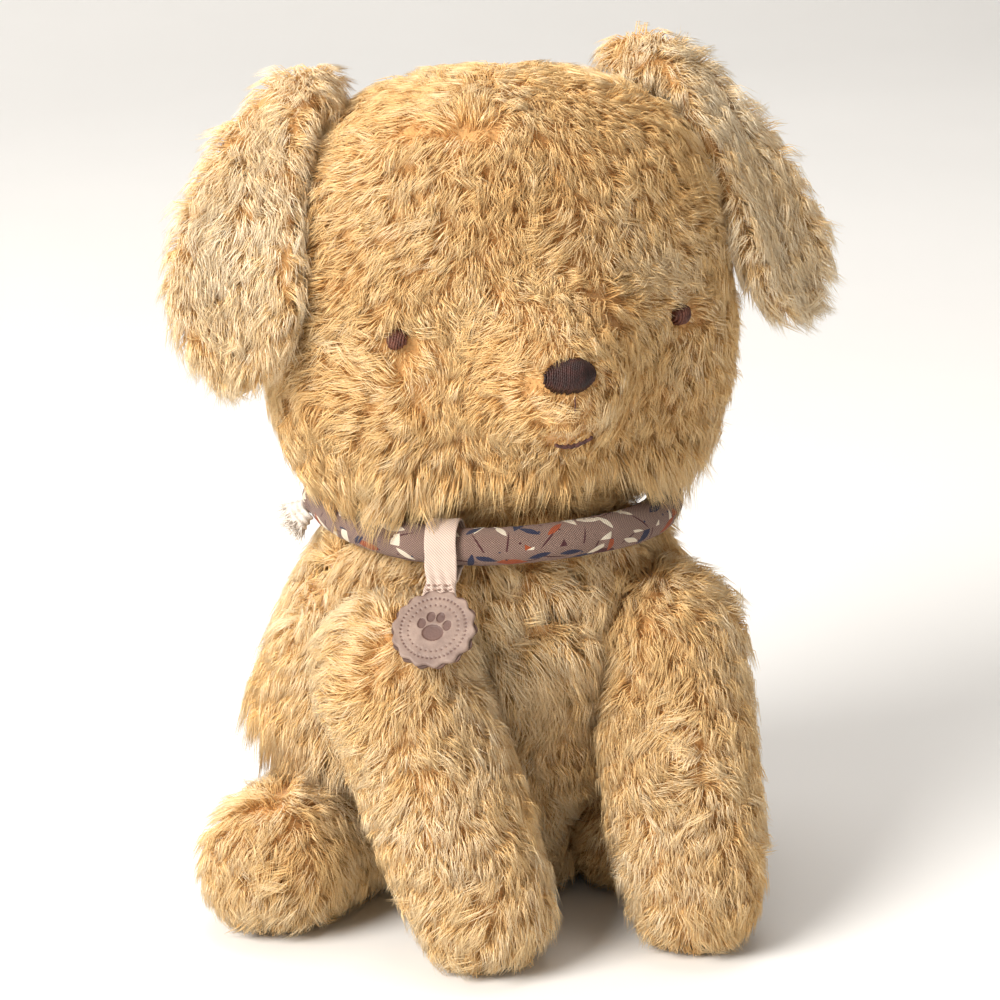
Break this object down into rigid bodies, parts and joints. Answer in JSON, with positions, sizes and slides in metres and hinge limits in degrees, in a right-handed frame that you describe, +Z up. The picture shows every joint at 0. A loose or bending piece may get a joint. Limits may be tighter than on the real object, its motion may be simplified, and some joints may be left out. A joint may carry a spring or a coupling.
{
  "type": "plush dog",
  "caption": "Sitting plush dog with long-pile fur, flop ears, sewn legs, a padded fabric collar and a hanging round tag.",
  "frame": {"origin": "on the floor, under the middle of the neck, on the flat bottom of the torso", "axes": "+Z up; the dog faces -Y; its left side is +X"},
  "size_m": [0.2114, 0.1797, 0.2692],
  "materials": {
    "fur": "long-pile plush fur, lying mostly downwards",
    "fur_pale": "long-pile plush fur, paler at the tips",
    "stuffing": "polyester fibre filling",
    "bag_cloth": "plain woven bag",
    "pellets": "small plastic pellets",
    "label_tape": "blank satin label tape",
    "face_thread": "satin-stitched embroidery thread",
    "printed_cotton": "woven cotton, printed with leaves and flowers",
    "frayed_cotton": "frayed ends of the printed cotton",
    "cord_cotton": "round cotton cord inside the collar",
    "twill_tape": "herringbone twill tape",
    "tape_thread": "sewing thread",
    "tag_face": "embossed imitation leather",
    "tag_back": "imitation leather backing"
  },
  "bodies": {
    "torso": {"torso_front_panel": "fur", "torso_back_left_panel": "fur", "torso_back_right_panel": "fur", "torso_base_panel": "fur", "torso_filling": "stuffing", "pellet_bag": "bag_cloth", "pellet_fill": "pellets", "care_label": "label_tape"},
    "neck": {"neck_filling": "stuffing"},
    "head": {"head_face_panel": "fur", "head_left_panel": "fur", "head_right_panel": "fur", "head_back_panel": "fur", "head_filling": "stuffing", "nose_stitching": "face_thread", "eye_left_stitching": "face_thread", "eye_right_stitching": "face_thread", "mouth_stitching": "face_thread"},
    "ear_left": {"ear_left_outer_panel": "fur_pale", "ear_left_inner_panel": "fur"},
    "ear_right": {"ear_right_outer_panel": "fur_pale", "ear_right_inner_panel": "fur"},
    "tail": {"tail_left_panel": "fur", "tail_right_panel": "fur", "tail_filling": "stuffing"},
    "collar": {"collar_sleeve": "printed_cotton", "collar_cord": "cord_cotton", "collar_knot": "printed_cotton", "collar_end_lower": "frayed_cotton", "collar_end_upper": "frayed_cotton"},
    "tag": {"tag_tape": "twill_tape", "tag_tape_stitches": "tape_thread", "tag_front": "tag_face", "tag_backing": "tag_back"},
    "front_leg_left": {"front_leg_left_outer_panel": "fur", "front_leg_left_inner_panel": "fur", "front_leg_left_filling": "stuffing"},
    "front_leg_right": {"front_leg_right_outer_panel": "fur", "front_leg_right_inner_panel": "fur", "front_leg_right_filling": "stuffing"},
    "hind_leg_left": {"hind_leg_left_outer_panel": "fur", "hind_leg_left_inner_panel": "fur", "hind_leg_left_filling": "stuffing"},
    "hind_leg_right": {"hind_leg_right_outer_panel": "fur", "hind_leg_right_inner_panel": "fur", "hind_leg_right_filling": "stuffing"}
  },
  "joints": [
    {"name": "neck_turn", "type": "hinge", "parent": "torso", "child": "neck", "pos_m": [0, -0.006, 0.12], "axis": [0, 0, 1], "range_deg": [-18, 18], "stiffness_Nm_per_rad": 0.4},
    {"name": "head_nod", "type": "hinge", "parent": "neck", "child": "head", "pos_m": [0, -0.006, 0.12], "axis": [1, 0, 0], "range_deg": [-4, 6], "stiffness_Nm_per_rad": 0.8},
    {"name": "ear_left_flap", "type": "hinge", "parent": "head", "child": "ear_left", "pos_m": [0.0465, 0.008, 0.255], "axis": [0.3491, -0.8479, -0.399], "range_deg": [-3, 60], "stiffness_Nm_per_rad": 0.03},
    {"name": "ear_right_flap", "type": "hinge", "parent": "head", "child": "ear_right", "pos_m": [-0.0505, 0.01, 0.2518], "axis": [0.3491, 0.8479, 0.399], "range_deg": [-3, 60], "stiffness_Nm_per_rad": 0.03},
    {"name": "front_leg_left_lift", "type": "hinge", "parent": "torso", "child": "front_leg_left", "pos_m": [0.044, -0.038, 0.084], "axis": [-1, 0, 0], "range_deg": [0, 35], "stiffness_Nm_per_rad": 0.12},
    {"name": "front_leg_right_lift", "type": "hinge", "parent": "torso", "child": "front_leg_right", "pos_m": [-0.044, -0.038, 0.084], "axis": [-1, 0, 0], "range_deg": [0, 35], "stiffness_Nm_per_rad": 0.12},
    {"name": "hind_leg_left_splay", "type": "hinge", "parent": "torso", "child": "hind_leg_left", "pos_m": [0.042, 0.008, 0.0217], "axis": [0, 0, 1], "range_deg": [-4, 40], "stiffness_Nm_per_rad": 0.12},
    {"name": "hind_leg_right_splay", "type": "hinge", "parent": "torso", "child": "hind_leg_right", "pos_m": [-0.042, 0.008, 0.0217], "axis": [0, 0, -1], "range_deg": [-23, 25], "stiffness_Nm_per_rad": 0.12},
    {"name": "tail_wag", "type": "hinge", "parent": "torso", "child": "tail", "pos_m": [0, 0.056, 0.034], "axis": [0, 0, 1], "range_deg": [-20, 20], "stiffness_Nm_per_rad": 0.02},
    {"name": "collar_turn", "type": "hinge", "parent": "torso", "child": "collar", "pos_m": [0, 0, 0.126], "axis": [0, 0, 1], "range_deg": [-2, 38]},
    {"name": "tag_swing", "type": "hinge", "parent": "collar", "child": "tag", "pos_m": [-0.0302, -0.04477, 0.126], "axis": [-0.829, 0.5592, 0], "range_deg": [0, 45]}
  ]
}
